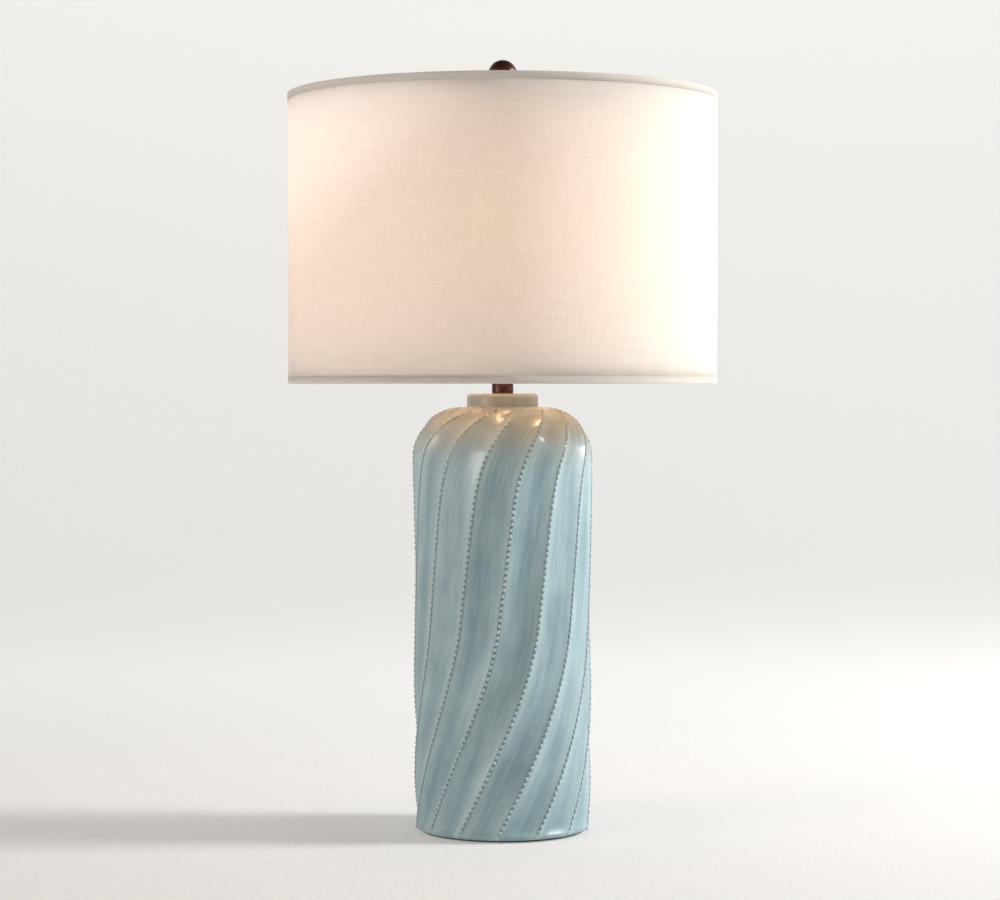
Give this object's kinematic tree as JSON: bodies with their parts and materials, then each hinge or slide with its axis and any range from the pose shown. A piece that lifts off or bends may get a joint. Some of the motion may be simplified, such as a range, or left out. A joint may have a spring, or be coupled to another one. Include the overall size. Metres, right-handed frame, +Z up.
{
  "type": "table lamp with shade",
  "caption": "Table lamp with a swirl-fluted glazed ceramic body, beaded ribs, dark bronze neck tube and ball finial, and a straight linen drum shade on a harp.",
  "frame": {"origin": "middle of the felt's underside, on the table, under the lamp's axis", "axes": "+Z up the lamp's axis; the front faces -Y; the cord leaves at the back, +Y; the harp stands in the XZ plane"},
  "size_m": [0.4063, 0.4064, 0.7307],
  "materials": {
    "glaze": "pale blue-green semi-gloss glaze, breaking paler on the ribs",
    "felt": "dense dark green felt",
    "black_plastic": "moulded, slightly satin",
    "zinc_steel": "zinc plated, satin",
    "fibre": "pressed fibre",
    "bronze": "dark oil-rubbed bronze, satin",
    "antique_brass": "dull antique brass",
    "brass": "stamped brass, satin",
    "phenolic": "moulded phenolic",
    "nickel": "nickel plated",
    "frosted_glass": "frosted, glowing warm white",
    "bulb_stem": "clear glass stem with wires",
    "linen": "off-white fine linen, plain weave",
    "hem": "off-white linen strip, folded",
    "liner": "translucent white styrene",
    "shade_wire": "pale powder-coated wire"
  },
  "bodies": {
    "base": {"ceramic_body": "glaze", "felt_pad": "felt", "cord_bushing": "black_plastic", "lamp_rod": "zinc_steel", "lower_washer": "zinc_steel", "lower_lock_washer": "zinc_steel", "lower_nut": "zinc_steel", "neck_washer": "fibre", "neck_tube": "bronze", "harp_saddle": "antique_brass", "saddle_nut": "zinc_steel", "socket_cap": "brass", "cap_set_screw": "zinc_steel", "socket_shell": "brass", "insulating_sleeve": "fibre", "switch_housing": "phenolic", "terminal_screws": "brass", "screw_shell": "brass", "centre_contact": "brass"},
    "switch": {"switch_shaft": "brass", "switch_knob": "black_plastic"},
    "bulb": {"bulb_glass": "frosted_glass", "bulb_filament": "bulb_stem", "bulb_screw_cap": "nickel", "bulb_insulator": "phenolic", "bulb_contact": "nickel"},
    "harp": {"harp_bow": "antique_brass", "harp_stud": "antique_brass"},
    "sleeve_left": {"harp_sleeve_left": "antique_brass"},
    "sleeve_right": {"harp_sleeve_right": "antique_brass"},
    "shade": {"shade_linen": "linen", "shade_liner": "liner", "top_hem": "hem", "bottom_hem": "hem", "top_ring": "shade_wire", "bottom_ring": "shade_wire", "spider_arms": "shade_wire", "spider_hub": "shade_wire"},
    "finial": {"finial_base": "bronze", "finial_ball": "bronze"}
  },
  "joints": [
    {"name": "switch_turn", "type": "hinge", "parent": "base", "child": "switch", "pos_m": [0, -0.025, 0.4848], "axis": [0, -1, 0], "continuous": true},
    {"name": "bulb_unscrew", "type": "slide", "parent": "base", "child": "bulb", "axis": [0, 0, 1], "range_m": [0, 0.032]},
    {"name": "harp_lift", "type": "slide", "parent": "base", "child": "harp", "axis": [0, 0, 1], "range_m": [0, 0.022]},
    {"name": "sleeve_left_lift", "type": "slide", "parent": "harp", "child": "sleeve_left", "axis": [0, 0, 1], "range_m": [0, 0.016]},
    {"name": "sleeve_right_lift", "type": "slide", "parent": "harp", "child": "sleeve_right", "axis": [0, 0, 1], "range_m": [0, 0.016]},
    {"name": "shade_turn", "type": "hinge", "parent": "harp", "child": "shade", "pos_m": [0, 0, 0.6862], "axis": [0, 0, 1], "continuous": true},
    {"name": "finial_unscrew", "type": "slide", "parent": "harp", "child": "finial", "axis": [0, 0, 1], "range_m": [0, 0.02]}
  ]
}
